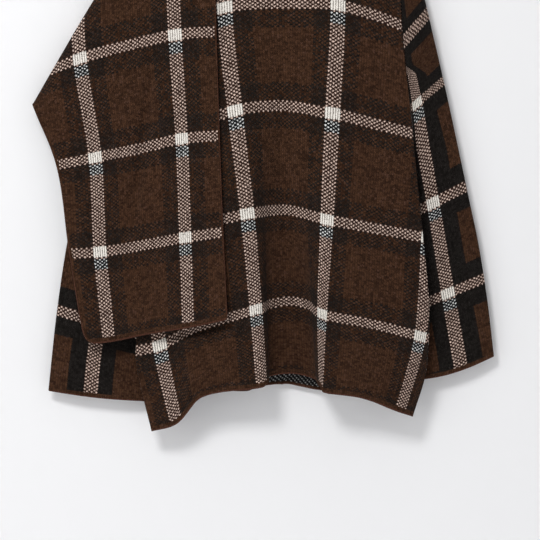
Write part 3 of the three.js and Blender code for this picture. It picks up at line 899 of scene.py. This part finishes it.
def sleeve_ring(outer, inner, free, side, sideways, around, cuff_bow, inset):
    """One ring of the sleeve in millimetres, from the outer fold over the front and back again."""
    half = around // 2
    number = np.arange(around)
    step = np.where(number < half, number / half, (around - number) / half)
    share = step + (0.5 - 0.5 * np.cos(math.pi * step) - step) * crowding_at_folds
    length = math.hypot(outer[0] - inner[0], outer[1] - inner[1])
    pulled = inset / length + share * (1 - 2 * inset / length)
    edge_x, edge_z, edge_front, edge_back = armhole(side, share)
    puff = np.sqrt(1 - np.abs(2 * share - 1) ** 4)
    bow = cuff_bow * np.sin(math.pi * share) * free * free
    x = outer[0] + (inner[0] - outer[0]) * pulled
    z = outer[1] + (inner[1] - outer[1]) * pulled - bow
    middle = (edge_front + edge_back) / 2
    middle = middle + (sleeve_middle - middle) * free
    edge_half = np.maximum((edge_front - edge_back) / 2, seam_half_depth_least) - inset
    free_half = np.maximum(sleeve_half_depth * puff, fold_half_depth) - inset
    ends = np.abs(np.sin(math.pi * step)) ** fold_roundness
    reach = ends * (edge_half + (free_half - edge_half) * free)
    held = (1 - free) ** 3
    straight_x = outer[0] + (inner[0] - outer[0]) * share
    straight_z = outer[1] + (inner[1] - outer[1]) * share
    x = x + (edge_x + sideways * seam_gap / MM - straight_x) * held
    z = z + (edge_z - straight_z) * held
    on_face = number <= half
    return np.stack([x, -(middle + np.where(on_face, reach, -reach)), z], axis=1)


def course_from_lines(x, z, lines):
    """The course at a place, between the sleeve's slanting lines."""
    courses = np.zeros_like(x)
    above = [z - (at[1] + rise * (np.abs(x) - abs(at[0]))) for _, at, rise in lines]
    for k in range(len(lines) - 1):
        start, end = lines[k][0], lines[k + 1][0]
        share = -above[k] / (above[k + 1] - above[k])
        first, last = k == 0, k == len(lines) - 2
        between = ((share >= 0) | first) & ((share < 1) | last)
        courses = np.where(between, start + (end - start) * share, courses)
    return courses


def sleeve_wale(x, z, stripe):
    """Repeats from the middle of the sleeve's stripe."""
    middle = np.interp(z, stripe["height"], stripe["middle"])
    repeat = np.interp(z, stripe["height"], stripe["repeat"])
    return (x - middle) / repeat


def sleeve_walls(name, rings, side, sideways):
    """The outer and the inner wall in millimetres, in rows from the shoulder to the cuff."""
    around, down = 96, 120
    knots = np.arange(len(ring_free))
    at = spread(down, sleeve_length) * (len(ring_free) - 1)
    free = np.clip(curve(knots, ring_free, at), 0, 1)
    outer, inner = (
        np.stack([curve(knots, np.array(rings[end])[:, axis], at) for axis in (0, 1)], axis=1)
        for end in ("outer", "inner")
    )
    outside, inside = [], []
    for k in range(len(at)):
        place = (outer[k], inner[k], free[k], side, sideways, around, cuff_bows[name])
        outside.append(sleeve_ring(*place, 0))
        inside.append(sleeve_ring(*place, knit_wall / MM))
    outside, inside = np.array(outside), np.array(inside)
    begins = eased(np.linspace(0, 1, len(at)), *sleeve_creases_begin)[:, None]
    on_face = (np.arange(around) > 0) & (np.arange(around) < around // 2)
    crease = creased(outside[..., 0], outside[..., 2], sleeve_creases[name]) * begins * on_face
    outside[..., 1] -= crease
    inside[..., 1] -= crease
    return outside, inside


def sleeve_check(outside, lines, stripe, back_stripe, sideways):
    """Places in repeats of the check. Behind, the wales count on past the outer fold."""
    around = outside.shape[1]
    x, z = outside[..., 0], outside[..., 2]
    behind = sleeve_wale(x, z, back_stripe)
    turned = 2 * behind[:, :1] - behind
    wale = np.where(np.arange(around) > around // 2, turned, sleeve_wale(x, z, stripe)) * sideways
    return np.stack([wale, course_from_lines(x, z, lines)], axis=-1)


def tube_piece(name, outside, inside, check, finished, sideways, material):
    """A tube of cloth with two walls, seamed at its first ring and finished at its last."""
    down = run(outside, 0)
    to_cuff = down[-1:, :] - down
    nearest = np.minimum(down, to_cuff)
    half = knit_wall / MM / 2
    rounded = np.sqrt(1 - np.clip(1 - nearest / half, 0, 1) ** 2)[..., None]
    middle = (outside + inside) / 2
    outside = middle + (outside - middle) * rounded
    inside = middle + (inside - middle) * rounded
    inner = np.zeros(nearest.shape, bool)
    inner[1:-1] = True
    maps = {"check": check, "margin": np.stack([to_cuff / finished, nearest * MM], axis=-1)}
    return two_walls(name, outside * MM, inside * MM, inner, maps, material, sideways > 0, True)


def make_sleeve(name, rings, lines, stripe, back_stripe, side, sideways):
    """One sleeve. Sideways is 1 where it points to the viewer's right, and -1 to the left."""
    outside, inside = sleeve_walls(name, rings, side, sideways)
    check = sleeve_check(outside, lines, stripe, back_stripe, sideways)
    return tube_piece(name, outside, inside, check, cuff_margin, sideways, sleeve_knit)


left_sleeve = make_sleeve("left_sleeve", left_rings, left_lines, left_stripe, left_back_stripe, 1.0, 1)
right_sleeve = make_sleeve("right_sleeve", right_rings, right_lines, right_stripe, right_stripe, 0.0, -1)
for sleeve, node, cloth in ((left_sleeve, "sleeve_left", 0.14), (right_sleeve, "sleeve_right", 0.17)):
    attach(sleeve, "root")
    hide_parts(node)

# The half cape's front: one more piece of the same knit, seamed to its back along the shoulder line.
# It lies over the wearer's right shoulder and sleeve, free at its hem and at both upright edges.
cape_wales = [-0.6, -0.3, 0, 0.5, 1, 1.45]
cape_inner_wale = 1.42
cape_tip_wale = -0.56
cape_hem_course = 3.9
cape_seam_depth = 1.6
cape_roll = 25
cape_lift = 5
cape_hem_flare = 8
cape_across = 300
cape_down = 560
cape_outer_corner = 16
cape_inner_corner = 7
cape_roll_ease = 0.8
cape_flare_begins = 0.86
cape_margins = (5, 3, 0, 9)
# Rows of the half cape in millimetres, as for the front
cape_rows = [
    {
        "course": -0.3,
        "across": [-426, -379, -329, -252, -177, -107],
        "height": [-184, -160, -128, -102, -82, -82],
        "depth": [14.8, 14.8, 14.8, 14.8, 14.8, 14.8],
    },
    {
        "course": 0.35,
        "across": [-421, -374, -327, -250, -174, -102],
        "height": [-272, -259, -232, -208, -194, -190],
        "depth": [16, 16, 16, 17, 19, 20],
    },
    {
        "course": 1,
        "across": [-411, -368, -322, -246, -170, -99],
        "height": [-371, -357, -339, -318, -301, -296],
        "depth": [15, 16, 17, 20, 25, 31],
    },
    {
        "course": 2,
        "across": [-393, -347, -297, -230, -159, -94],
        "height": [-512, -506, -496, -482, -466, -461],
        "depth": [15, 18, 20, 25, 34, 45],
    },
    {
        "course": 3,
        "across": [-390, -339, -289, -220, -153, -88],
        "height": [-648, -648, -645, -634, -622, -613],
        "depth": [18, 22, 26, 32, 46, 57],
    },
    {
        "course": 3.9,
        "across": [-374, -322, -274, -210, -148, -81],
        "height": [-792, -791, -787, -774, -764, -750],
        "depth": [22, 25, 29, 37, 52, 63],
    },
]
cape_top_wales = [-0.56, -0.27, 0, 0.2, 0.45, 0.63, 0.85, 1.42]
cape_top_courses = [1.3, 0.97, 0.67, 0.44, 0.14, -0.08, -0.17, -0.26]
cape_side_falls = [0, 0.27, 0.65, 0.94, 1]
cape_side_wales = [-0.56, -0.385, -0.3, -0.26, -0.22]
cape_creases_begin = {"top": (0.05, 0.2), "side": (0, 0.08)}
cape_creases = [
    {"start": (-200, -290), "end": (-244, -650), "wide": 7, "deep": -9},
    {"start": (-190, -380), "end": (-186, -770), "wide": 14, "deep": 1.8},
    {"start": (-330, -420), "end": (-318, -780), "wide": 15, "deep": 2.2},
    {"start": (-150, -130), "end": (-128, -420), "wide": 15, "deep": 1.6},
    {"start": (-262, -200), "end": (-340, -400), "wide": 12, "deep": 1.8},
]


def around_corner(share, fall, wide, long, corner):
    """Moves places near a lower corner in behind its round cut. The corner is at share 0."""
    beside = np.maximum(0, 1 - share * wide / corner)
    below = np.maximum(0, 1 - (1 - fall) * long / corner)
    inwards = beside * (1 - np.sqrt(1 - below ** 2 / 2))
    upwards = below * (1 - np.sqrt(1 - beside ** 2 / 2))
    return share + inwards * corner / wide, fall - upwards * corner / long


def cape_place(share, fall):
    """Across, height, depth, turn of the roll, wale and course on the half cape."""
    share, fall = around_corner(share, fall, cape_across, cape_down, cape_outer_corner)
    share, fall = around_corner(1 - share, fall, cape_across, cape_down, cape_inner_corner)
    share = 1 - share
    top = cape_tip_wale + (cape_inner_wale - cape_tip_wale) * share
    side = curve(cape_side_falls, cape_side_wales, fall)
    wale = side + (cape_inner_wale - side) * share
    start = np.interp(top, cape_top_wales, cape_top_courses)
    course = start + (cape_hem_course - start) * fall
    x, z, depth = on_panel(cape_rows, cape_wales, wale, course)
    seam_x, seam_z, _ = on_panel(cape_rows, cape_wales, top, start)
    turn = roll(np.hypot(x - seam_x, z - seam_z) * cape_roll_ease, cape_roll)
    return x, z + cape_lift * (1 - fall), depth, turn, wale, course


def make_cape_front():
    share, fall, shape = net(spread(96, cape_across), spread(150, cape_down, cape_roll))
    x, z, depth, turn, wale, course = cape_place(share, fall)
    depth = cape_seam_depth + (depth - cape_seam_depth) * turn
    depth = depth + creased(x, z, cape_creases) * inside_seams(share, fall, **cape_creases_begin)
    depth = depth + cape_hem_flare * eased(fall, cape_flare_begins, 1)
    points, check = cloth_net(x, z, depth, wale, course, shape)
    return sheet_piece("cape_front_flap", points, check, cape_margins, 1, body_knit)


cape_front = make_cape_front()
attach(cape_front, "root")
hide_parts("cape_front")

# The half cape's back: the same cut, hanging flat behind the body and the sleeve.
# It ends a little inside the front flap all round.
cape_back_depth = -16.6
cape_back_tuck = 8
cape_tuck_is_full = 0.3


def make_cape_back():
    share, fall, shape = net(spread(80, cape_across), spread(130, cape_down, cape_roll))
    x, z, _, turn, wale, course = cape_place(share, fall)
    depth = -cape_seam_depth + (cape_back_depth + cape_seam_depth) * turn
    tuck = cape_back_tuck * eased(fall, 0, cape_tuck_is_full)
    x = x + tuck * (1 - 2 * share)
    z = z + tuck * fall
    points, check = cloth_net(x, z, depth, wale, course, shape)
    return sheet_piece("cape_back_flap", points, check, cape_margins, -1, body_knit)


cape_back = make_cape_back()
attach(cape_back, "root")
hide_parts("cape_back")

# The studio: a pale painted wall close behind the hanging knit, and a pale floor below it.
# From behind, the wall is clear to the eye and to light, so that the back can be looked at too.
wall_gap = 6 * MM
wall_y = cad_high.y + wall_gap
wall_top = 1.6
wall_half_width = 3
floor_drop = 0.35
floor_z = cad_low.z - floor_drop
floor_front = -5
pale_grey = (0.86, 0.86, 0.87)


def plain_surface(name, low, high, material):
    """One flat rectangle, from its near or lower edge to its far or upper one."""
    corners = np.array([low, (high[0], low[1], low[2]), high, (low[0], high[1], high[2])])
    surface = mesh_piece(name, corners, [[0, 1, 2, 3]], material)


paint, paint_shader = new_material("wall paint", pale_grey, 0.95)
tree = paint.node_tree
seen_from = tree.nodes.new("ShaderNodeNewGeometry")
ray = tree.nodes.new("ShaderNodeLightPath")
passes = add_math(tree, "MAXIMUM", seen_from.outputs["Backfacing"], ray.outputs["Is Shadow Ray"])
clear = tree.nodes.new("ShaderNodeBsdfTransparent")
either_side = tree.nodes.new("ShaderNodeMixShader")
tree.links.new(passes, either_side.inputs["Fac"])
tree.links.new(paint_shader.outputs["BSDF"], either_side.inputs[1])
tree.links.new(clear.outputs["BSDF"], either_side.inputs[2])
tree.links.new(either_side.outputs["Shader"], tree.nodes["Material Output"].inputs["Surface"])
screed, _ = new_material("pale floor", pale_grey, 0.9)
plain_surface("wall", (-wall_half_width, wall_y, floor_z), (wall_half_width, wall_y, wall_top), paint)
plain_surface("floor", (-wall_half_width, floor_front, floor_z), (wall_half_width, wall_y, floor_z), screed)

# The lights: the key is a soft box above and to the left of the camera, with a wide weak fill low on the
# left and a white surround that lifts the shadows. A third box stands behind the wall and lights the back.
white = (1, 1, 1, 1)
surround_strength = 0.46
garment_middle = (-0.02, -0.03, -0.6)
world = bpy.data.worlds.new("studio")
bpy.context.scene.world = world
bpy.context.scene.view_settings.view_transform = "Standard"
world.use_nodes = True
world.node_tree.nodes["Background"].inputs["Color"].default_value = white
world.node_tree.nodes["Background"].inputs["Strength"].default_value = surround_strength


def soft_box(name, place, size, power):
    """A rectangular light at a place in metres, turned to the middle of the garment."""
    light = bpy.data.lights.new(name, "AREA")
    light.shape = "RECTANGLE"
    light.size, light.size_y = size
    light.energy = power
    box = bpy.data.objects.new(name, light)
    box.location = place
    box.rotation_mode = "QUATERNION"
    box.rotation_quaternion = (Vector(garment_middle) - Vector(place)).to_track_quat("-Z", "Y")
    bpy.context.scene.collection.objects.link(box)


soft_box("key light", (-0.95, -2.6, 1.1), (0.9, 0.7), 49)
soft_box("rear light", (1.2, 2.4, 1.6), (1.6, 1.2), 60)
soft_box("fill light", (-2.2, -2.0, -0.4), (1.6, 2.2), 10)

# The camera: level and square to the wall, well back, and framed as close as the photograph is.
# The frame is measured on the plane where most of the cloth hangs.
frame_across = 860 * MM
frame_middle_x = -18.4 * MM
frame_middle_z = -672 * MM
cloth_plane = -30 * MM
camera_distance = 4.5
film_width = 36
camera_data = bpy.data.cameras.new("camera")
camera_data.sensor_width = film_width
camera_data.lens = film_width * camera_distance / frame_across
camera = bpy.data.objects.new("camera", camera_data)
camera.location = (frame_middle_x, cloth_plane - camera_distance, frame_middle_z)
camera.rotation_euler = (math.pi / 2, 0, 0)
bpy.context.scene.collection.objects.link(camera)
bpy.context.scene.camera = camera
